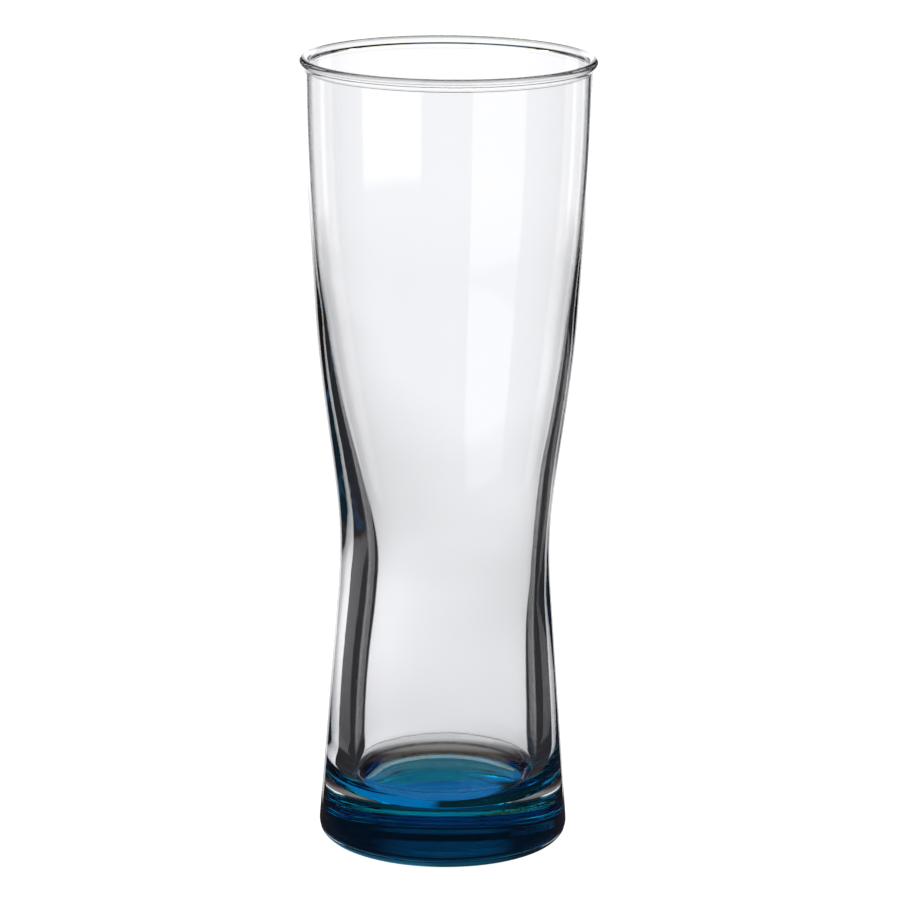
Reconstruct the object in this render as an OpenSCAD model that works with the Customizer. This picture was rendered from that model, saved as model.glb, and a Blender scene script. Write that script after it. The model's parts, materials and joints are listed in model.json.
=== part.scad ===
// Tall pilsner glass: one clear pressed-and-blown body on a heavy foot, with a thin coat of
// translucent blue lacquer under the foot and round its heel.
// Millimetres, +Z up. The origin is the centre of the ring that the glass stands on.

/* [Heights] */
// Height from the table to the top of the rim
glass_h = 219.5; // [190:0.5:260]
// Height of the waist, where the outside is narrowest
waist_z = 83; // [70:0.5:110]
// Height of the throat, where the inside is narrowest
throat_z = 78; // [60:0.5:100]
// Height of the floor inside, so the thickness of the heavy foot
floor_z = 15; // [10:0.5:30]

/* [Outside] */
// Largest radius of the foot
foot_r = 34.5; // [29:0.1:42]
// Radius of the waist
waist_r = 29; // [24:0.1:35]
// Radius of the wall just under the rolled rim
mouth_r = 39.1; // [32:0.1:47]
// Radius of the round heel of the foot
heel_r = 4.5; // [2:0.1:7]
// Radius of the glass bead that is rolled round the rim
bead_r = 1.15; // [0.8:0.05:1.6]

/* [Wall] */
// Thickness of the wall at the mouth
mouth_wall = 1.1; // [0.9:0.05:2]
// Outside radius of the waist less the inside radius of the throat
throat_wall = 5.4; // [3:0.1:8]
// Largest radius of the foot less the inside radius of the well above it
well_wall = 8.7; // [7:0.1:12]
// Radius of the round corner between the floor and the wall inside
corner_r = 8.5; // [4:0.1:10.5]
// Angle at which that corner meets the flat floor, in a shallow crease
corner_crease = 38; // [0:1:60]

/* [Underside] */
// Radius of the shallow hollow under the foot, inside the standing ring
hollow_r = 24; // [12:0.1:29]
// Depth of the hollow at its centre
hollow_h = 1.2; // [0.5:0.1:3]

/* [Coat] */
// Thickness of the lacquer
coat_t = 0.1; // [0.05:0.01:0.3]
// Angle of the heel's round that the lacquer covers, up from the standing ring
coat_wrap = 63; // [20:1:85]

/* [Hidden] */

// Facets round the circle
$fn = 128;
// Steps along each smooth span, along each arc and across the hollow
span_steps = 12;
arc_steps = 10;
hollow_steps = 8;
// Points nearer than this are one point
same_point = 0.001;

// The straight cone of the foot ends at these shares of the waist's height, and of the way
// from the waist's radius out to the foot's
cone_top_shares = [0.75, 0.21];
// Outside from waist to mouth and inside from throat to mouth. Each row is a share of the height,
// a share of the flare, and the slope there as a share of the mean slope.
flare_shares = [[0, 0, 0], [0.24, 0.31, 1.8], [0.5, 0.69, 0.8], [1, 1, 0.08]];
bore_shares = [[0, 0, 0], [0.25, 0.31, 1.9], [0.49, 0.69, 1.25], [1, 1, 0.1]];

// Centre of the rolled bead, which is flush with the inside of the wall
bead_x = mouth_r - mouth_wall + bead_r;
bead_z = glass_h - bead_r;
// The outside of the wall runs into the bead at this angle below its middle
bead_angle = acos((mouth_r - bead_x) / bead_r);
neck_z = bead_z - bead_r * sin(bead_angle);

throat_r = waist_r - throat_wall;
well_r = foot_r - well_wall;
well_top_z = floor_z + corner_r * cos(corner_crease);

// The bare glass of the foot stands on its coat
heel_x = foot_r - heel_r;
heel_z = coat_t + heel_r;
cone_top_z = cone_top_shares[0] * waist_z;
cone_top_r = waist_r + cone_top_shares[1] * (foot_r - waist_r);
// The cone runs on from the heel's round without a corner
cone_angle = asin(heel_r / norm([cone_top_r - heel_x, cone_top_z - heel_z]))
    - atan2(cone_top_r - heel_x, cone_top_z - heel_z);
cone_slope = -tan(cone_angle);
// Where the coat ends on the heel's round, measured from the outward direction
coat_angle = coat_wrap - 90;

// Point [radius, height] at share t of the smooth span between stations p and q,
// where a station is [height, radius, slope]
function span_point(p, q, t) =
    let (h = q[0] - p[0])
    [p[1] * (1 + 2 * t) * pow(1 - t, 2) + p[2] * h * t * pow(1 - t, 2)
        + q[1] * (3 - 2 * t) * pow(t, 2) - q[2] * h * (1 - t) * pow(t, 2),
     p[0] + h * t];

// Smooth curve up through a list of stations
function curve(stations) = concat(
    [for (i = [1:len(stations) - 1]) for (k = [0:span_steps - 1])
        span_point(stations[i - 1], stations[i], k / span_steps)],
    [let (last = stations[len(stations) - 1]) [last[1], last[0]]]);

// Stations of a flare that opens from [z0, r0] to [z1, r1] by a table of shares
function flare(shares, z0, r0, z1, r1) =
    [for (s = shares) [z0 + s[0] * (z1 - z0), r0 + s[1] * (r1 - r0), s[2] * (r1 - r0) / (z1 - z0)]];

// Arc round [x, z] from angle a to angle b, measured from the outward direction
function arc(x, z, r, a, b, steps) =
    [for (k = [0:steps]) let (t = a + (b - a) * k / steps) [x + r * cos(t), z + r * sin(t)]];

function reversed(points) = [for (k = [len(points) - 1:-1:0]) points[k]];

// The same points, each kept once where one curve ends and the next begins
function joined(points) =
    [for (k = [0:len(points) - 1]) if (k == 0 || norm(points[k] - points[k - 1]) > same_point) points[k]];

// Ceiling of the hollow under the foot, from the axis out to the standing ring, at height base
function hollow_curve(base) =
    [for (k = [0:hollow_steps]) let (s = k / hollow_steps)
        [s * hollow_r, base + hollow_h * (1 - pow(s, 2))]];

// Coated part of the heel's round, at a distance outside the bare glass
function coated_heel(out) = arc(heel_x, heel_z, heel_r + out, -90, coat_angle, arc_steps);

outside = concat(
    hollow_curve(coat_t),
    coated_heel(0),
    arc(heel_x, heel_z, heel_r, coat_angle, cone_angle, arc_steps),
    curve(concat([[cone_top_z, cone_top_r, cone_slope]],
        flare(flare_shares, waist_z, waist_r, neck_z, mouth_r))),
    arc(bead_x, bead_z, bead_r, -bead_angle, 90, arc_steps),
    arc(bead_x, bead_z, bead_r, 90, 180, arc_steps));

inside = concat(
    [[0, floor_z]],
    arc(well_r - corner_r, well_top_z, corner_r, corner_crease - 90, 0, arc_steps),
    curve(concat([[well_top_z, well_r, 0]],
        flare(bore_shares, throat_z, throat_r, bead_z, mouth_r - mouth_wall))));

// Clear glass, with the rolled rim, the flared bowl, the waist and the heavy foot
module glass_body() {
    color("aliceblue", 0.35)
        rotate_extrude()
            polygon(joined(concat(outside, reversed(inside))));
}

// Blue lacquer in one unbroken layer: the hollow, the standing ring and part way up the heel
module base_coat() {
    color("dodgerblue", 0.6)
        rotate_extrude()
            polygon(concat(
                hollow_curve(0), coated_heel(coat_t),
                reversed(coated_heel(0)), reversed(hollow_curve(coat_t))));
}

glass_body();
base_coat();
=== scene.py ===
import json
import math
import bpy
import numpy as np
from mathutils import Matrix, Vector

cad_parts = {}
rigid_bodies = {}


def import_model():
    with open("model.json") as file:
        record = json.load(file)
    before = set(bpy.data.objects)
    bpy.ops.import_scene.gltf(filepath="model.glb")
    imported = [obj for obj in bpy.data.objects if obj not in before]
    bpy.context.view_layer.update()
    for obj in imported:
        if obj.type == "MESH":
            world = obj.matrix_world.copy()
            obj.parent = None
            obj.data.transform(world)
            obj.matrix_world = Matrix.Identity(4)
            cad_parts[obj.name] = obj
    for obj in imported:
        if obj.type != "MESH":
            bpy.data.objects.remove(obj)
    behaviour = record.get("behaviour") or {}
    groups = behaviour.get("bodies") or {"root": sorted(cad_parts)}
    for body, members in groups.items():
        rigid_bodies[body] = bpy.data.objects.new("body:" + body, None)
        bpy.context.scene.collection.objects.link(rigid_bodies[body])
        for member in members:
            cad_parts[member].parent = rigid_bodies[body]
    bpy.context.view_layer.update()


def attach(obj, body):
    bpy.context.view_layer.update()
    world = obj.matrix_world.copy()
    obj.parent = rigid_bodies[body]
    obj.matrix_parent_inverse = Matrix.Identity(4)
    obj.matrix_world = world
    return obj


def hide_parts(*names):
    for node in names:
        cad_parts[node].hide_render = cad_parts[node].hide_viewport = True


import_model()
scene = bpy.context.scene
mm = 0.001


def metres(lengths):  # from millimetres
    return [length * mm for length in lengths]


# Small helpers for node trees

def addNode(tree, kind, **values):
    node = tree.nodes.new(kind)
    for name, value in values.items():
        setattr(node, name, value)
    return node


def feed(tree, target, value):  # a socket takes a link or a plain value
    if isinstance(value, bpy.types.NodeSocket):
        tree.links.new(value, target)
    elif value is not None:
        target.default_value = value


def feedAll(tree, node, values):  # the same for a node's sockets by name
    for name, value in values.items():
        feed(tree, node.inputs[name], value)
    return node


def calc(tree, operation, a, b=None):
    node = addNode(tree, "ShaderNodeMath", operation=operation)
    feed(tree, node.inputs[0], a)
    feed(tree, node.inputs[1], b)
    return node.outputs[0]


def vectorCalc(tree, operation, a, b=None, scale=None):
    node = addNode(tree, "ShaderNodeVectorMath", operation=operation)
    feed(tree, node.inputs[0], a)
    feed(tree, node.inputs[1], b)
    if scale is not None:
        feed(tree, node.inputs["Scale"], scale)
    return node.outputs["Value" if operation == "LENGTH" else "Vector"]


def split(tree, vector):
    node = addNode(tree, "ShaderNodeSeparateXYZ")
    feed(tree, node.inputs[0], vector)
    return node.outputs


def join(tree, x, y, z):
    node = addNode(tree, "ShaderNodeCombineXYZ")
    for target, value in zip(node.inputs, (x, y, z)):
        feed(tree, target, value)
    return node.outputs[0]


def ramp(tree, value, low, high, toLow=0.0, toHigh=1.0, kind="SMOOTHSTEP"):
    node = addNode(tree, "ShaderNodeMapRange", interpolation_type=kind)
    feedAll(tree, node, {"Value": value, "From Min": low, "From Max": high,
                         "To Min": toLow, "To Max": toHigh})
    return node.outputs[0]


def mixColour(tree, factor, a, b):
    node = addNode(tree, "ShaderNodeMix", data_type="RGBA")
    for place, value in zip((0, 6, 7), (factor, a, b)):  # the Mix node's factor and two colours
        feed(tree, node.inputs[place], value)
    return node.outputs[2]


def noise(tree, vector, scale, detail=2.0, roughness=0.5):  # about -0.5 to 0.5
    node = addNode(tree, "ShaderNodeTexNoise")
    feedAll(tree, node, {"Vector": vector, "Scale": scale, "Detail": detail, "Roughness": roughness})
    return calc(tree, "SUBTRACT", node.outputs[0], 0.5)


def grain(tree, point, size, detail=2.0, roughness=0.5):  # noise whose lumps have a size in millimetres
    return noise(tree, point, 1 / (size * mm), detail, roughness)


def groupSocket(tree, name, kind, value=None, direction="INPUT"):
    socket = tree.interface.new_socket(name=name, in_out=direction, socket_type="NodeSocket" + kind)
    if value is not None:
        socket.default_value = value


# The outline of the glass in millimetres, as the CAD model has it

glassShape = {
    "height": 219.5, "waistZ": 83, "throatZ": 78, "floorZ": 15,
    "footR": 34.5, "waistR": 29, "mouthR": 39.1, "heelR": 4.5, "beadR": 1.15,
    "mouthWall": 1.1, "throatWall": 5.4, "wellWall": 8.7,
    "cornerR": 8.5, "cornerCrease": 38, "creaseBlend": 0.4,
    "hollowR": 24, "hollowH": 1.2, "coatT": 0.1, "lowConeZ": 12,
    "coneTopShares": (0.75, 0.21),
    "flareShares": ((0, 0, 0), (0.24, 0.31, 1.8), (0.5, 0.69, 0.8), (1, 1, 0.08)),
    "boreShares": ((0, 0, 0), (0.25, 0.31, 1.9), (0.49, 0.69, 1.25), (1, 1, 0.1)),
}

outlineSteps = {
    "hollow": 22, "ring": 14, "heel": 24, "lowCone": 22, "bead": 30, "corner": 18, "blend": 5, "floor": 18,
    "spacing": 1.25, "fewest": 4,
}


def arcPoints(x, z, r, start, end, steps):
    turn = np.radians(np.linspace(start, end, steps + 1))
    return np.stack([x + r * np.cos(turn), z + r * np.sin(turn)], 1)


def linePoints(a, b, steps):
    t = np.linspace(0, 1, steps + 1)[:, None]
    return np.array(a) * (1 - t) + np.array(b) * t


def spanPoints(p, q, n):  # smooth stretch between stations of height, radius and slope
    h = q[0] - p[0]
    t = np.linspace(0, 1, max(n["fewest"], round(h / n["spacing"])) + 1)
    radius = (p[1] * (1 + 2 * t) * (1 - t) ** 2 + p[2] * h * t * (1 - t) ** 2
              + q[1] * (3 - 2 * t) * t ** 2 - q[2] * h * (1 - t) * t ** 2)
    return np.stack([radius, p[0] + h * t], 1)


def chain(runs):  # one outline, each shared end kept once
    return np.concatenate([runs[0]] + [run[1:] for run in runs[1:]])


def curvePoints(stations, n):
    return chain([spanPoints(p, q, n) for p, q in zip(stations, stations[1:])])


def flareStations(shares, z0, r0, z1, r1):
    return [(z0 + a * (z1 - z0), r0 + b * (r1 - r0), c * (r1 - r0) / (z1 - z0)) for a, b, c in shares]


def heelCentre(g):
    return g["footR"] - g["heelR"], g["coatT"] + g["heelR"]


def coneOf(g):  # top of the foot's cone and its lean, tangent to the heel
    heelX, heelZ = heelCentre(g)
    coneZ = g["coneTopShares"][0] * g["waistZ"]
    coneR = g["waistR"] + g["coneTopShares"][1] * (g["footR"] - g["waistR"])
    across, up = coneR - heelX, coneZ - heelZ
    lean = math.asin(g["heelR"] / math.hypot(across, up)) - math.atan2(across, up)
    return coneZ, coneR, lean


def underside(g, out, n):  # from the axis under the foot up onto the cone, out from the bare glass
    heelX, heelZ = heelCentre(g)
    base = g["coatT"] - out
    lean = coneOf(g)[2]
    share = np.linspace(0, 1, n["hollow"] + 1)
    hollow = np.stack([share * g["hollowR"], base + g["hollowH"] * (1 - share ** 2)], 1)
    ring = linePoints((g["hollowR"], base), (heelX, base), n["ring"])
    heel = arcPoints(heelX, heelZ, g["heelR"] + out, -90, math.degrees(lean), n["heel"])
    rise = g["lowConeZ"] - heel[-1][1]
    lowCone = linePoints(heel[-1], heel[-1] + rise * np.array([-math.tan(lean), 1]), n["lowCone"])
    return chain([hollow, ring, heel, lowCone])


def glassOutline(g, n):  # the whole outline, and how many of its points are outside
    coneZ, coneR, lean = coneOf(g)
    slope = -math.tan(lean)
    boreR = g["mouthR"] - g["mouthWall"]
    beadX = boreR + g["beadR"]
    beadZ = g["height"] - g["beadR"]
    tuck = math.acos((g["mouthR"] - beadX) / g["beadR"])
    neckZ = beadZ - g["beadR"] * math.sin(tuck)
    below = underside(g, 0, n)
    flare = flareStations(g["flareShares"], g["waistZ"], g["waistR"], neckZ, g["mouthR"])
    wall = curvePoints([(below[-1][1], below[-1][0], slope), (coneZ, coneR, slope)] + flare, n)
    bead = arcPoints(beadX, beadZ, g["beadR"], -math.degrees(tuck), 180, n["bead"])
    outside = chain([below, wall, bead])

    wellR = g["footR"] - g["wellWall"]
    turn = g["cornerCrease"] - 90
    crease = math.radians(g["cornerCrease"])
    creaseR = wellR - g["cornerR"] * (1 - math.sin(crease))
    wellZ = g["floorZ"] + g["cornerR"] * math.cos(crease)
    blendR = g["creaseBlend"]
    floorR = creaseR - blendR * math.tan(crease / 2)
    floor = linePoints((0, g["floorZ"]), (floorR, g["floorZ"]), n["floor"])
    blend = arcPoints(floorR, g["floorZ"] + blendR, blendR, -90, turn, n["blend"])
    corner = arcPoints(wellR - g["cornerR"], wellZ, g["cornerR"], turn, 0, n["corner"])
    opening = flareStations(g["boreShares"], g["throatZ"], g["waistR"] - g["throatWall"], beadZ, boreR)
    bore = curvePoints([(wellZ, wellR, 0)] + opening, n)
    inside = np.concatenate([floor, blend[1:-1], corner, bore[1:]])[::-1][1:]
    return np.concatenate([outside, inside]), len(outside)


def lengthAlong(points):
    return np.concatenate([[0], np.cumsum(np.hypot(*np.diff(points, axis=0).T))])


def outlineObject(name, points, **columns):  # a string of points that a turning tree reads
    mesh = bpy.data.meshes.new(name)
    verts = [(r * mm, 0, z * mm) for r, z in points]
    mesh.from_pydata(verts, [(i, i + 1) for i in range(len(verts) - 1)], [])
    for column, values in columns.items():
        attribute = mesh.attributes.new(column, "FLOAT", "POINT")
        attribute.data.foreach_set("value", np.asarray(values, np.float32))
    obj = bpy.data.objects.new(name, mesh)
    scene.collection.objects.link(obj)
    return obj


# The ragged top edge of the lacquer, shared by both trees: its length along the skin in each direction

coatEdge = {
    "length": 35.2, "ragged": 1.2, "raggedScale": 2.2, "raggedDetail": 3,
    "streak": 0.5, "streakScale": 19.0, "streakDetail": 4, "streakRoughness": 0.7,
}


def buildEdgeGroup():
    e = coatEdge
    tree = bpy.data.node_groups.new("raggedEdge", "GeometryNodeTree")
    groupSocket(tree, "Direction", "Vector")
    for name in ("Length", "Ragged", "Streak"):
        groupSocket(tree, name, "Float", e[name.lower()] * mm)
    groupSocket(tree, "Edge", "Float", direction="OUTPUT")
    given = addNode(tree, "NodeGroupInput").outputs
    slow = noise(tree, given["Direction"], e["raggedScale"], e["raggedDetail"])
    fast = noise(tree, given["Direction"], e["streakScale"], e["streakDetail"], e["streakRoughness"])
    edge = calc(tree, "ADD", given["Length"], calc(tree, "MULTIPLY", slow, given["Ragged"]))
    edge = calc(tree, "ADD", edge, calc(tree, "MULTIPLY", fast, given["Streak"]))
    feed(tree, addNode(tree, "NodeGroupOutput").inputs["Edge"], edge)
    return tree


edgeGroup = buildEdgeGroup()


def edgeAround(tree, direction):
    node = addNode(tree, "GeometryNodeGroup", node_tree=edgeGroup)
    feed(tree, node.inputs["Direction"], direction)
    return node.outputs[0]


def startTurning(name, segments, sizes):
    tree = bpy.data.node_groups.new(name, "GeometryNodeTree")
    groupSocket(tree, "Geometry", "Geometry")
    groupSocket(tree, "Segments", "Int", segments)
    for size in sizes:
        groupSocket(tree, size, "Float", 0.0)
    groupSocket(tree, "Geometry", "Geometry", direction="OUTPUT")
    return tree, addNode(tree, "NodeGroupInput").outputs


def turnOutline(tree, geometry, segments):  # a grid of outline points by segments, its rows and directions
    count = addNode(tree, "GeometryNodeAttributeDomainSize", component="MESH")
    feed(tree, count.inputs["Geometry"], geometry)
    columns = calc(tree, "ADD", segments, 1)
    grid = addNode(tree, "GeometryNodeMeshGrid")
    feedAll(tree, grid, {"Vertices X": count.outputs["Point Count"], "Vertices Y": columns})
    index = addNode(tree, "GeometryNodeInputIndex").outputs[0]
    row = calc(tree, "FLOOR", calc(tree, "DIVIDE", calc(tree, "ADD", index, 0.5), columns))
    column = calc(tree, "SUBTRACT", index, calc(tree, "MULTIPLY", row, columns))
    angle = calc(tree, "MULTIPLY", calc(tree, "DIVIDE", column, segments), 2 * math.pi)
    direction = join(tree, calc(tree, "COSINE", angle), calc(tree, "SINE", angle), 0)
    return grid.outputs["Mesh"], row, direction


def sampleRow(tree, geometry, row, kind, value):
    node = addNode(tree, "GeometryNodeSampleIndex", data_type=kind, domain="POINT")
    feedAll(tree, node, {"Geometry": geometry, "Value": value, "Index": row})
    return node.outputs[0]


def sampleNamed(tree, geometry, row, *names):
    return [sampleRow(tree, geometry, row, "FLOAT", named(tree, name)) for name in names]


def named(tree, name):
    node = addNode(tree, "GeometryNodeInputNamedAttribute", data_type="FLOAT")
    node.inputs["Name"].default_value = name
    return node.outputs["Attribute"]


def pointAround(tree, direction, radius, height):
    around = vectorCalc(tree, "SCALE", direction, scale=radius)
    return vectorCalc(tree, "ADD", around, join(tree, 0, 0, height))


samePoint = 0.001  # mm


def finishTurning(tree, mesh, place, bonded, airSide, bondSide):  # points placed, seam closed, materials set
    stored = addNode(tree, "GeometryNodeStoreNamedAttribute", data_type="FLOAT", domain="POINT")
    feedAll(tree, stored, {"Geometry": mesh, "Name": "bonded", "Value": bonded})
    moved = addNode(tree, "GeometryNodeSetPosition")
    feedAll(tree, moved, {"Geometry": stored.outputs[0], "Position": place})
    last = addNode(tree, "GeometryNodeMergeByDistance")
    feedAll(tree, last, {"Geometry": moved.outputs[0], "Distance": samePoint * mm})
    for kind in ("GeometryNodeFlipFaces", "GeometryNodeSetShadeSmooth", "GeometryNodeRealizeInstances"):
        node = addNode(tree, kind)
        feed(tree, node.inputs[0], last.outputs[0])
        last = node
    marked = calc(tree, "GREATER_THAN", named(tree, "bonded"), 0.5)
    for material, chosen in ((airSide, None), (bondSide, marked)):
        node = addNode(tree, "GeometryNodeSetMaterial")
        feedAll(tree, node, {"Geometry": last.outputs[0], "Selection": chosen, "Material": material})
        last = node
    feed(tree, addNode(tree, "NodeGroupOutput").inputs[0], last.outputs[0])
    return tree


def applyTree(obj, tree, name, values):  # sets the inputs, evaluates, and leaves a plain mesh
    modifier = obj.modifiers.new("Turning", "NODES")
    modifier.node_group = tree
    for item in tree.interface.items_tree:
        if item.item_type == "SOCKET" and item.in_out == "INPUT" and item.name in values:
            modifier[item.identifier] = values[item.name]
    evaluated = obj.evaluated_get(bpy.context.evaluated_depsgraph_get())
    mesh = bpy.data.meshes.new_from_object(evaluated)
    mesh.name = name
    mesh.materials.pop(index=0)  # the grid's own empty slot
    piece = bpy.data.objects.new(name, mesh)
    scene.collection.objects.link(piece)
    bpy.data.objects.remove(obj)
    return piece


# Materials. A grain is the size of its lumps in millimetres, its detail and its roughness.

clearLook = {
    "ior": 1.52, "colour": (0.99, 0.99, 0.995, 1), "absorb": (0.90, 0.92, 0.93, 1), "density": 1.5,
    "shade": (0.93, 0.94, 0.94, 1), "dust": (0.62, 0.60, 0.58, 1),
}
filmLook = {
    "ior": 1.52, "skin": (1, 1, 1, 1), "shade": (0.1, 0.55, 0.72, 1), "tint": (0.01, 0.42, 0.68, 1),
    "thin": (0.03, 0.60, 0.84, 1), "deep": (0.003, 0.30, 0.56, 1), "patch": (0.16, 0.30, 0.24, 1),
    "dust": (0.5, 0.62, 0.6, 1), "bondDust": 0.5,
}
surfaceLook = {
    "ripple": (1.3, 1), "rippleDepth": 0.0006,
    "scratch": 14, "scratchWidth": 0.006, "scratchDepth": 0.0015, "wornScale": 60, "wornEdge": (0.08, 0.12),
    "speck": 5.5, "speckShare": 0.80, "speckSize": (0.018, 0.032),
}
# Painted shade: ragged dark rings in the clear glass's colour, low in the corner of the well, for the dark
# bands seen there
cornerShadeMarks = {
    "heights": (20.6, 17.75, 15.45), "widths": (0.26, 0.55, 0.32), "jag": (1.0, 0.4, 0.3),
    "strengths": (0.75, 0.9, 0.85), "core": 0.4, "roughGrain": (0.9, 3, 0.7), "slowGrain": (16, 1),
    "breakGrain": (5, 3), "breakEdge": (-0.30, 0.05), "faintest": 0.45,
    "inside": (26.6, 27.6), "dull": (0.1, 0.1, 0.1, 1),
}
streakLook = {
    "along": 0.035, "across": 1.1, "streakGrain": (1, 3, 0.65), "streakShare": 1.6, "broadGrain": (9, 3),
    "thinEdge": (0.02, 0.45), "deepEdge": (-0.05, -0.5),
    "patchGrain": (3.6, 2, 0.6), "patchStretch": (0.45, 1.6, 1), "patchEdge": (0.10, 0.16),
    "patchDepth": (18, 21),
}


def newMaterial(name):
    material = bpy.data.materials.new(name)
    material.use_nodes = True
    material.node_tree.nodes.clear()
    return material, material.node_tree


def objectPoint(tree):
    return addNode(tree, "ShaderNodeTexCoord").outputs["Object"]


def surfaceOutput(tree, shader, kind="ShaderNodeOutputMaterial"):
    return feedAll(tree, addNode(tree, kind), {"Surface": shader})


def seeThrough(tree, colour):
    node = addNode(tree, "ShaderNodeBsdfTransparent")
    feed(tree, node.inputs[0], colour)
    return node.outputs[0]


def mixShader(tree, factor, a, b):
    node = addNode(tree, "ShaderNodeMixShader")
    for target, value in zip(node.inputs, (factor, a, b)):
        feed(tree, target, value)
    return node.outputs[0]


def buildSurfaceGroup():  # fine ripple, a few hair scratches and specks of dust, from object coordinates
    look = surfaceLook
    tree = bpy.data.node_groups.new("glassSurface", "ShaderNodeTree")
    groupSocket(tree, "Point", "Vector")
    groupSocket(tree, "Normal", "Vector", direction="OUTPUT")
    groupSocket(tree, "Specks", "Float", direction="OUTPUT")
    point = addNode(tree, "NodeGroupInput").outputs["Point"]
    ripple = calc(tree, "MULTIPLY", grain(tree, point, *look["ripple"]), look["rippleDepth"] * mm)
    cells = addNode(tree, "ShaderNodeTexVoronoi", feature="DISTANCE_TO_EDGE")
    feedAll(tree, cells, {"Vector": point, "Scale": 1 / (look["scratch"] * mm)})
    hair = ramp(tree, cells.outputs["Distance"], 0, look["scratchWidth"], 1, 0)
    hair = calc(tree, "MULTIPLY", hair, ramp(tree, noise(tree, point, look["wornScale"]), *look["wornEdge"]))
    height = calc(tree, "SUBTRACT", ripple, calc(tree, "MULTIPLY", hair, look["scratchDepth"] * mm))
    bump = feedAll(tree, addNode(tree, "ShaderNodeBump"), {"Distance": 1, "Height": height})
    dots = addNode(tree, "ShaderNodeTexVoronoi")
    feedAll(tree, dots, {"Vector": point, "Scale": 1 / (look["speck"] * mm)})
    kept = calc(tree, "GREATER_THAN", split(tree, dots.outputs["Color"])[0], look["speckShare"])
    specks = calc(tree, "MULTIPLY", ramp(tree, dots.outputs["Distance"], *look["speckSize"], 1, 0), kept)
    feedAll(tree, addNode(tree, "NodeGroupOutput"), {"Normal": bump.outputs[0], "Specks": specks})
    return tree


def buildFilmGroup():  # the lacquer's colour: thin and deep streaks round the foot, and a few greenish-brown patches towards the back
    look = streakLook
    tree = bpy.data.node_groups.new("filmColour", "ShaderNodeTree")
    groupSocket(tree, "Point", "Vector")
    for name in ("Tint", "Thin", "Deep", "Patch"):
        groupSocket(tree, name, "Color", filmLook[name.lower()])
    groupSocket(tree, "Colour", "Color", direction="OUTPUT")
    given = addNode(tree, "NodeGroupInput").outputs
    x, y, z = split(tree, given["Point"])
    flat = join(tree, x, y, 0)
    across = calc(tree, "SUBTRACT", vectorCalc(tree, "LENGTH", flat), z)
    drawn = join(tree, calc(tree, "MULTIPLY", x, look["along"]), calc(tree, "MULTIPLY", y, look["along"]),
                 calc(tree, "MULTIPLY", across, look["across"]))
    streak = calc(tree, "MULTIPLY", grain(tree, drawn, *look["streakGrain"]), look["streakShare"])
    tone = calc(tree, "ADD", streak, grain(tree, given["Point"], *look["broadGrain"]))
    colour = mixColour(tree, ramp(tree, tone, *look["thinEdge"]), given["Tint"], given["Thin"])
    colour = mixColour(tree, ramp(tree, tone, *look["deepEdge"]), colour, given["Deep"])
    spot = vectorCalc(tree, "MULTIPLY", flat, look["patchStretch"])
    dull = ramp(tree, grain(tree, spot, *look["patchGrain"]), *look["patchEdge"])
    dull = calc(tree, "MULTIPLY", dull, ramp(tree, y, *metres(look["patchDepth"])))
    colour = mixColour(tree, dull, colour, given["Patch"])
    feed(tree, addNode(tree, "NodeGroupOutput").inputs["Colour"], colour)
    return tree


surfaceGroup = buildSurfaceGroup()
filmGroup = buildFilmGroup()


def useGroup(tree, group, point):
    node = addNode(tree, "ShaderNodeGroup", node_tree=group)
    feed(tree, node.inputs["Point"], point)
    return node.outputs


def paintedCornerShade(tree, point):  # painted shade: ragged dark rings at the foot of the bore, where the corner of the well looks dark
    m = cornerShadeMarks
    x, y, z = split(tree, point)
    flat = join(tree, x, y, 0)
    jagged = calc(tree, "ADD", grain(tree, flat, *m["roughGrain"]), grain(tree, flat, *m["slowGrain"]))
    total = 0
    for level, width, jag, strength in zip(m["heights"], m["widths"], m["jag"], m["strengths"]):
        middle = calc(tree, "ADD", calc(tree, "MULTIPLY", jagged, jag * mm), level * mm)
        off = calc(tree, "ABSOLUTE", calc(tree, "SUBTRACT", z, middle))
        line = calc(tree, "MULTIPLY", ramp(tree, off, m["core"] * width * mm, width * mm, 1, 0), strength)
        total = calc(tree, "MAXIMUM", total, line)
    broken = ramp(tree, grain(tree, flat, *m["breakGrain"]), *m["breakEdge"], m["faintest"], 1)
    inside = ramp(tree, vectorCalc(tree, "LENGTH", flat), *metres(m["inside"]), 1, 0)
    return calc(tree, "MULTIPLY", calc(tree, "MULTIPLY", total, broken), inside)


def glassShader(tree, look, colour, normal):  # clear glass that lets lamps through
    glass = addNode(tree, "ShaderNodeBsdfPrincipled")
    feedAll(tree, glass, {"Base Color": colour, "Normal": normal, "Roughness": 0, "IOR": look["ior"],
                          "Transmission Weight": 1})
    shadowRay = addNode(tree, "ShaderNodeLightPath").outputs["Is Shadow Ray"]
    return surfaceOutput(tree, mixShader(tree, shadowRay, glass.outputs[0], seeThrough(tree, look["shade"])))


def clearMaterial():
    material, tree = newMaterial("clearGlass")
    point = objectPoint(tree)
    surface = useGroup(tree, surfaceGroup, point)
    colour = mixColour(tree, surface["Specks"], clearLook["colour"], clearLook["dust"])
    # the painted shade rings darken the glass's colour at the foot of the bore
    colour = mixColour(tree, paintedCornerShade(tree, point), colour, cornerShadeMarks["dull"])
    out = glassShader(tree, clearLook, colour, surface["Normal"])
    volume = addNode(tree, "ShaderNodeVolumeAbsorption")
    feedAll(tree, volume, {"Color": clearLook["absorb"], "Density": clearLook["density"]})
    feed(tree, out.inputs["Volume"], volume.outputs[0])
    return material


def lacquerMaterial():
    material, tree = newMaterial("blueLacquer")
    surface = useGroup(tree, surfaceGroup, objectPoint(tree))
    colour = mixColour(tree, surface["Specks"], filmLook["skin"], filmLook["dust"])
    glassShader(tree, filmLook, colour, surface["Normal"])
    return material


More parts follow.
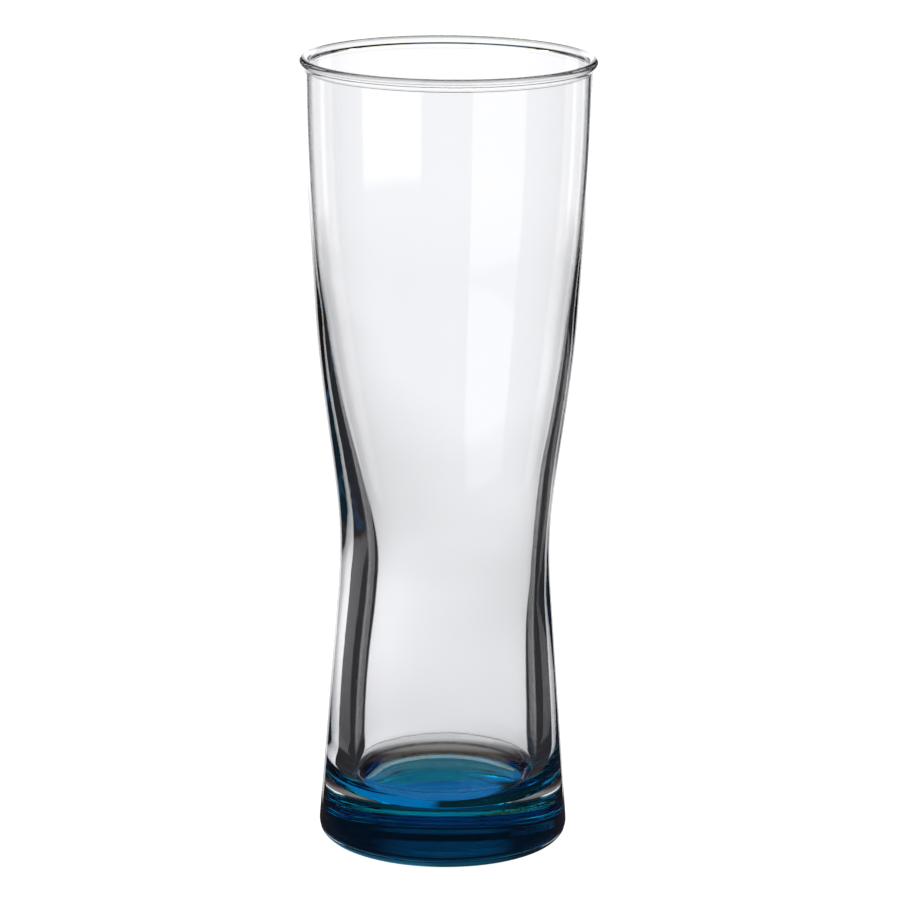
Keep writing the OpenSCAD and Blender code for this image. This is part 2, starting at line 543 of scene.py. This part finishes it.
def bondedMaterial(name, tinted):  # where glass and lacquer touch, light passes on without bending
    material, tree = newMaterial(name)
    point = objectPoint(tree)
    dust = calc(tree, "MULTIPLY", useGroup(tree, surfaceGroup, point)["Specks"], filmLook["bondDust"])
    colour = useGroup(tree, filmGroup, point)["Colour"] if tinted else filmLook["skin"]
    surfaceOutput(tree, seeThrough(tree, mixColour(tree, dust, colour, filmLook["dust"])))
    return material


clearGlass = clearMaterial()
bondedGlass = bondedMaterial("bondedGlass", False)
blueLacquer = lacquerMaterial()
bondedLacquer = bondedMaterial("bondedLacquer", True)
print("materials made")


# The glass body: the outline turned, with the bore a little off centre and slight waves in the wall

glassPiece = {
    "segments": 208, "drift": 0.5, "driftFrom": (17, 26), "driftEnd": (110, 160),
    "throatDrift": 0.9, "throatZ": 82, "throatSpread": 22,
    "wave": 0.04, "waveGrain": (22, 1), "ripple": 0.006, "rippleGrain": (4.0, 1),
    "calmR": 6, "outerShare": 0.3,
}


def buildGlassTree():
    g = glassPiece
    sizes = ("Wave", "Ripple", "Low Drift", "Throat Drift")
    tree, given = startTurning("glassTurning", g["segments"], sizes)
    outline = given["Geometry"]
    mesh, row, direction = turnOutline(tree, outline, given["Segments"])
    place = addNode(tree, "GeometryNodeInputPosition").outputs[0]
    radius, _, height = split(tree, sampleRow(tree, outline, row, "FLOAT_VECTOR", place))
    inner, climb = sampleNamed(tree, outline, row, "inner", "climb")
    spot = pointAround(tree, direction, radius, height)
    low = calc(tree, "MULTIPLY", ramp(tree, height, *metres(g["driftEnd"]), 1, 0),
               ramp(tree, height, *metres(g["driftFrom"])))
    bell = calc(tree, "DIVIDE", calc(tree, "SUBTRACT", height, g["throatZ"] * mm), g["throatSpread"] * mm)
    bell = calc(tree, "EXPONENT", calc(tree, "MULTIPLY", calc(tree, "MULTIPLY", bell, bell), -1))
    drift = calc(tree, "ADD", calc(tree, "MULTIPLY", low, given["Low Drift"]),
                 calc(tree, "MULTIPLY", bell, given["Throat Drift"]))
    drift = calc(tree, "MULTIPLY", drift, inner)
    wave = calc(tree, "MULTIPLY", grain(tree, spot, *g["waveGrain"]), given["Wave"])
    ripple = calc(tree, "MULTIPLY", grain(tree, spot, *g["rippleGrain"]), given["Ripple"])
    bump = calc(tree, "MULTIPLY", calc(tree, "ADD", wave, ripple), ramp(tree, radius, 0, g["calmR"] * mm))
    bump = calc(tree, "MULTIPLY", bump, ramp(tree, inner, 0, 1, g["outerShare"], 1))
    moved = vectorCalc(tree, "ADD", spot, vectorCalc(tree, "SCALE", direction, scale=bump))
    moved = vectorCalc(tree, "ADD", moved, join(tree, drift, 0, 0))
    bonded = calc(tree, "LESS_THAN", climb, edgeAround(tree, direction))
    return finishTurning(tree, mesh, moved, bonded, clearGlass, bondedGlass)


def makeGlass():
    g = glassPiece
    outline, outerCount = glassOutline(glassShape, outlineSteps)
    skin = underside(glassShape, glassShape["coatT"], outlineSteps)
    climb = np.full(len(outline), 1.0)  # a metre, so past the lacquer's edge
    climb[:len(skin)] = lengthAlong(skin) * mm
    inner = np.arange(len(outline)) >= outerCount
    line = outlineObject("glassOutline", outline, inner=inner, climb=climb)
    piece = applyTree(line, buildGlassTree(), "clear_glass_body", {
        "Segments": g["segments"], "Wave": g["wave"] * mm, "Ripple": g["ripple"] * mm,
        "Low Drift": g["drift"] * mm, "Throat Drift": g["throatDrift"] * mm})
    print("glass body:", len(piece.data.vertices), "vertices,", len(piece.data.polygons), "faces")
    return piece


# The lacquer: an outer skin that meets the air, and an inner one a hair off the glass

coatPiece = {
    "segments": 288, "skinSteps": 90, "thick": 0.07, "uneven": 0.25, "lumpGrain": (5, 4, 0.6),
    "edgeFrom": 0.93, "edgeThick": 0.15,
}


def buildCoatTree(skinLine):
    c = coatPiece
    tree, given = startTurning("coatTurning", c["segments"], ("Thickness", "Unevenness"))
    mesh, row, direction = turnOutline(tree, given["Geometry"], given["Segments"])
    share, inner = sampleNamed(tree, given["Geometry"], row, "share", "inner")
    length = calc(tree, "MULTIPLY", share, edgeAround(tree, direction))
    path = addNode(tree, "GeometryNodeObjectInfo", transform_space="ORIGINAL")
    path.inputs["Object"].default_value = skinLine
    curve = addNode(tree, "GeometryNodeMeshToCurve")
    feed(tree, curve.inputs[0], path.outputs["Geometry"])
    sample = addNode(tree, "GeometryNodeSampleCurve", mode="LENGTH", use_all_curves=True)
    feedAll(tree, sample, {"Curves": curve.outputs[0], "Length": length})
    radius, _, height = split(tree, sample.outputs["Position"])
    across, _, up = split(tree, sample.outputs["Tangent"])
    lumps = grain(tree, vectorCalc(tree, "SCALE", direction, scale=length), *c["lumpGrain"])
    thick = calc(tree, "ADD", 1, calc(tree, "MULTIPLY", lumps, given["Unevenness"]))
    thick = calc(tree, "MULTIPLY", given["Thickness"], thick)
    thick = calc(tree, "MULTIPLY", thick, ramp(tree, share, c["edgeFrom"], 1, 1, c["edgeThick"]))
    thick = calc(tree, "MULTIPLY", thick, inner)
    radius = calc(tree, "SUBTRACT", radius, calc(tree, "MULTIPLY", up, thick))
    radius = calc(tree, "MULTIPLY", radius, calc(tree, "GREATER_THAN", share, 0))
    height = calc(tree, "ADD", height, calc(tree, "MULTIPLY", across, thick))
    place = pointAround(tree, direction, radius, height)
    return finishTurning(tree, mesh, place, inner, blueLacquer, bondedLacquer)


def makeCoat():
    c = coatPiece
    skinLine = outlineObject("skinLine", underside(glassShape, glassShape["coatT"], outlineSteps))
    share = np.linspace(0, 1, c["skinSteps"] + 1)
    both = np.concatenate([share, share[::-1]])
    inner = np.repeat([0.0, 1.0], len(share))
    line = outlineObject("coatOutline", np.stack([both, inner], 1), share=both, inner=inner)
    piece = applyTree(line, buildCoatTree(skinLine), "lacquer_coat", {
        "Segments": c["segments"], "Thickness": c["thick"] * mm, "Unevenness": c["uneven"]})
    bpy.data.objects.remove(skinLine)
    print("lacquer:", len(piece.data.vertices), "vertices,", len(piece.data.polygons), "faces")
    return piece


glassBody = makeGlass()
lacquerCoat = makeCoat()


# Camera at the photograph's viewing angle: focal length in pixels, place in millimetres, turns in degrees

cameraSetup = {
    "focal": 4546, "frame": 900, "sensor": 36, "away": 1216, "height": 406.8, "aside": 1.2,
    "pitch": 13.7, "roll": 0.48, "clip": (0.05, 30),
}


def makeCamera():
    c = cameraSetup
    data = bpy.data.cameras.new("camera")
    data.sensor_width = c["sensor"]
    data.lens = c["focal"] / c["frame"] * c["sensor"]
    data.clip_start, data.clip_end = c["clip"]
    camera = bpy.data.objects.new("camera", data)
    scene.collection.objects.link(camera)
    place = Matrix.Translation(metres((c["aside"], -c["away"], c["height"])))
    tilt = Matrix.Rotation(math.radians(90 - c["pitch"]), 4, "X")
    camera.matrix_world = place @ tilt @ Matrix.Rotation(math.radians(c["roll"]), 4, "Z")
    scene.camera = camera
    return camera


camera = makeCamera()
bpy.context.view_layer.update()
print("camera set")


# Lighting cards, seen by the glass only. They turn with the camera, as on a turntable.
# Radius in metres, azimuths and elevations in degrees, level as a colour, soft edges in degrees.

darkRoom = (0.026, 0.024, 0.026)
cards = {
    "softbox": {
        "radius": 0.6, "azimuths": (-160, -108), "elevations": (3.0, 21),
        "level": (1.1, 1.1, 1.1), "soft": (2, 1.6)},
    "low_glow": {
        "radius": 5.8, "azimuths": (-34, 32), "elevations": (-3, 16),
        "level": (0.13, 0.14, 0.15), "soft": (24, 2)},
    "strip": {
        "radius": 1.3, "azimuths": (-50, 50), "elevations": (50, 57),
        "level": (4.0, 4.0, 3.5), "soft": (12, 1)},
    "rim_card": {
        "radius": 0.15, "azimuths": (-26, 26), "elevations": (53.1, 62),
        "level": (1.08, 1.08, 1.1), "soft": (2, 0.2)},
    "left_card": {
        "radius": 1.25, "azimuths": (-66, -38), "elevations": (-7.6, 4.5),
        "level": (0.95, 0.95, 0.95), "soft": (6, 2)},
    "right_card": {
        "radius": 1.25, "azimuths": (38, 66), "elevations": (-7.6, 4.5),
        "level": (0.95, 0.95, 0.95), "soft": (6, 2)},
    "high_glow": {
        "radius": 1.25, "azimuths": (-34, 32), "elevations": (20, 48),
        "level": (0.13, 0.14, 0.15), "soft": (24, 3)},
}
# The backdrop's levels go by elevation, and are sideGain times as bright towards its sides
backdrop = {
    "radius": 6.0, "edges": (-24.5, 20), "soft": 2, "sideFrom": (3, 13), "sideGain": 1.04,
    "elevations": (-64, -5.4), "colour": (0.975, 0.98, 1.0), "brightest": 2,
    "levels": ((-64, 0.10), (-56, 0.26), (-43, 0.32), (-39, 0.60), (-27, 0.66), (-18, 0.93), (-16.4, 1.01),
               (-15, 1.10), (-12.6, 1.09), (-9, 1.13), (-6, 1.12), (-5.4, 0.2)),
}


def emitter(name):
    material, tree = newMaterial(name)
    material.cycles.emission_sampling = "NONE"
    return material, tree


def cardObject(name, radius, azimuths, elevations, material, steps=(48, 12)):
    verts, faces = [], []
    for a in np.radians(np.linspace(*azimuths, steps[0] + 1)):
        for e in np.radians(np.linspace(*elevations, steps[1] + 1)):
            verts.append((radius * math.sin(a), radius * math.cos(a), radius * math.tan(e)))
    row = steps[1] + 1
    for i in range(steps[0]):
        for j in range(steps[1]):
            k = i * row + j
            faces.append((k, k + 1, k + row + 1, k + row))
    mesh = bpy.data.meshes.new(name)
    mesh.from_pydata(verts, [], faces)
    mesh.materials.append(material)
    card = bpy.data.objects.new(name, mesh)
    scene.collection.objects.link(card)
    card.parent = camera
    card.matrix_parent_inverse = camera.matrix_world.inverted()
    card.visible_camera = card.visible_diffuse = card.visible_shadow = False


def cardAngles(tree, radius):  # azimuth and elevation in degrees, from the card's own coordinates
    x, y, z = split(tree, objectPoint(tree))
    azimuth = calc(tree, "ARCTAN2", x, y)
    elevation = calc(tree, "ARCTANGENT", calc(tree, "DIVIDE", z, radius))
    return [calc(tree, "MULTIPLY", angle, 180 / math.pi) for angle in (azimuth, elevation)]


def softEdges(tree, angle, limits, width):
    return calc(tree, "MULTIPLY", ramp(tree, angle, limits[0], limits[0] + width),
                ramp(tree, angle, limits[1] - width, limits[1], 1, 0))


def glow(tree, colour, strength):
    light = addNode(tree, "ShaderNodeEmission")
    feedAll(tree, light, {"Color": (*colour, 1), "Strength": strength})
    surfaceOutput(tree, light.outputs[0])


def softCard(name, radius, azimuths, elevations, level, soft):
    material, tree = emitter(name)
    azimuth, elevation = cardAngles(tree, radius)
    strength = calc(tree, "MULTIPLY", softEdges(tree, azimuth, azimuths, soft[0]),
                    softEdges(tree, elevation, elevations, soft[1]))
    glow(tree, level, calc(tree, "MAXIMUM", strength, max(darkRoom) / max(level)))
    cardObject(name, radius, azimuths, elevations, material)


def backdropCard():
    b = backdrop
    material, tree = emitter("backdrop")
    azimuth, elevation = cardAngles(tree, b["radius"])
    sides = ramp(tree, calc(tree, "ABSOLUTE", azimuth), *b["sideFrom"], 1, b["sideGain"])
    curve = addNode(tree, "ShaderNodeValToRGB")
    stops = curve.color_ramp.elements
    low, high = b["elevations"]
    for i, (angle, level) in enumerate(b["levels"]):
        place = (angle - low) / (high - low)
        stop = stops[i] if i < 2 else stops.new(place)  # the ramp starts with two stops
        stop.position = place
        stop.color = (*[level / b["brightest"]] * 3, 1)
    feed(tree, curve.inputs[0], ramp(tree, elevation, low, high, kind="LINEAR"))
    level = calc(tree, "MULTIPLY", curve.outputs[0], b["brightest"])
    level = calc(tree, "MULTIPLY", softEdges(tree, azimuth, b["edges"], b["soft"]), level)
    level = calc(tree, "MULTIPLY", level, sides)
    glow(tree, b["colour"], calc(tree, "MAXIMUM", level, max(darkRoom)))
    cardObject("backdrop", b["radius"], b["edges"], b["elevations"], material)


for name, card in cards.items():
    softCard(name, **card)
backdropCard()
print("lighting cards set")


# The floor is pale to the camera and keeps the shadow. The glass sees painted light and shade on the table
# instead:
# a painted pool of blue light under the foot in front and paler light behind, a painted dark patch at the
# front right, a painted ring of shadow round the foot, and past that the cards. Millimetres.

floorLook = {
    "halfSize": 3000, "below": 0.05, "level": 0.955, "matt": (0.25, 0.25, 0.25),
    "paleLightPool": (0.36, 0.31, 0.29), "blueLightPool": (0.10, 0.36, 0.62), "blueUntil": (12, 20),
    "frontShade": (0.045, 0.03, 0.028), "frontAcross": (-6, 0), "frontDepth": (6, 12), "frontFrom": (16, 20),
    "shadowRing": (0.20, 0.20, 0.20), "ringFrom": (34, 36), "paleRingFrom": (41, 47),
    "paleRingDepth": (-10, 10), "paleRingFan": 1.5, "cardsFrom": (50, 62),
}


# Painted light and shade on the table round the foot, seen only by the glass
def tableLightAndShade(tree, where, distance):
    f = floorLook
    white, blue = (*f["paleLightPool"], 1), (*f["blueLightPool"], 1)
    dark, shadow = (*f["frontShade"], 1), (*f["shadowRing"], 1)
    across, depth, _ = split(tree, where)
    lit = mixColour(tree, ramp(tree, depth, *metres(f["blueUntil"])), blue, white)
    front = ramp(tree, across, *metres(f["frontAcross"]))
    front = calc(tree, "MULTIPLY", front, ramp(tree, depth, *metres(f["frontDepth"]), 1, 0))
    front = calc(tree, "MULTIPLY", front, ramp(tree, distance, *metres(f["frontFrom"])))
    lit = mixColour(tree, front, lit, dark)
    fan = calc(tree, "MULTIPLY", calc(tree, "ABSOLUTE", across), f["paleRingFan"])
    pale = ramp(tree, calc(tree, "SUBTRACT", depth, fan), *metres(f["paleRingDepth"]))
    pale = calc(tree, "MULTIPLY", pale, ramp(tree, distance, *metres(f["paleRingFrom"])))
    ring = mixColour(tree, pale, dark, shadow)
    return mixColour(tree, ramp(tree, distance, *metres(f["ringFrom"])), lit, ring)


def makeFloor():
    f = floorLook
    material, tree = emitter("paleFloor")
    white = feedAll(tree, addNode(tree, "ShaderNodeEmission"), {"Strength": f["level"]})
    matt = feedAll(tree, addNode(tree, "ShaderNodeBsdfDiffuse"), {"Color": (*f["matt"], 1)})
    pale = addNode(tree, "ShaderNodeAddShader")
    feed(tree, pale.inputs[0], white.outputs[0])
    feed(tree, pale.inputs[1], matt.outputs[0])
    where = objectPoint(tree)
    distance = vectorCalc(tree, "LENGTH", where)
    # the painted table light and shade, for rays from the glass
    table = feedAll(tree, addNode(tree, "ShaderNodeEmission"), {"Color": tableLightAndShade(tree, where, distance)})
    beyond = ramp(tree, distance, *metres(f["cardsFrom"]))
    refracted = mixShader(tree, beyond, table.outputs[0], seeThrough(tree, None))
    cameraRay = addNode(tree, "ShaderNodeLightPath").outputs["Is Camera Ray"]
    surfaceOutput(tree, mixShader(tree, cameraRay, refracted, pale.outputs[0]))
    corners = [(-1, -1), (1, -1), (1, 1), (-1, 1)]
    mesh = bpy.data.meshes.new("floor")
    mesh.from_pydata([metres((x * f["halfSize"], y * f["halfSize"], -f["below"])) for x, y in corners],
                     [], [(0, 1, 2, 3)])
    mesh.materials.append(material)
    floor = bpy.data.objects.new("floor", mesh)
    scene.collection.objects.link(floor)


# The room is dark to the glass, apart from a soft light overhead above these elevations

overhead = {"colour": (0.86, 0.84, 0.5), "edge": (30, 42)}


def makeWorld():
    world = bpy.data.worlds.new("studio")
    world.use_nodes = True
    tree = world.node_tree
    tree.nodes.clear()
    cameraRay = addNode(tree, "ShaderNodeLightPath").outputs["Is Camera Ray"]
    up = split(tree, addNode(tree, "ShaderNodeTexCoord").outputs["Generated"])[2]
    low, high = [math.sin(math.radians(angle)) for angle in overhead["edge"]]
    room = mixColour(tree, ramp(tree, up, low, high), (*darkRoom, 1), (*overhead["colour"], 1))
    back = addNode(tree, "ShaderNodeBackground")
    feed(tree, back.inputs["Color"], mixColour(tree, cameraRay, room, (1, 1, 1, 1)))
    surfaceOutput(tree, back.outputs[0], "ShaderNodeOutputWorld")
    scene.world = world


lampAim = (0, 0, 0.1)
lamps = {
    "left_softbox": {"place": (-1.0, -0.9, 1.3), "size": (0.6, 0.9), "power": 12},
    "right_softbox": {"place": (1.1, -0.7, 1.1), "size": (0.5, 1.0), "power": 9},
}


def makeLamp(name, place, size, power):
    data = bpy.data.lights.new(name, "AREA")
    data.shape = "RECTANGLE"
    data.size, data.size_y = size
    data.energy = power
    lamp = bpy.data.objects.new(name, data)
    lamp.location = place
    lamp.rotation_euler = (Vector(lampAim) - Vector(place)).to_track_quat("-Z", "Y").to_euler()
    lamp.visible_camera = lamp.visible_glossy = lamp.visible_transmission = False
    scene.collection.objects.link(lamp)


makeFloor()
makeWorld()
for name, lamp in lamps.items():
    makeLamp(name, **lamp)
print("floor, room and lamps set")

scene.view_settings.view_transform = "Standard"
bounces = {
    "max_bounces": 40, "transmission_bounces": 40, "glossy_bounces": 24, "transparent_max_bounces": 48,
}
for kind, most in bounces.items():
    setattr(scene.cycles, kind, most)

pieces = ((glassBody, "glass_body", "clear_glass"), (lacquerCoat, "base_coat", "blue_coat"))
for piece, node, slotName in pieces:
    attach(piece, "root")
    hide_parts(node)
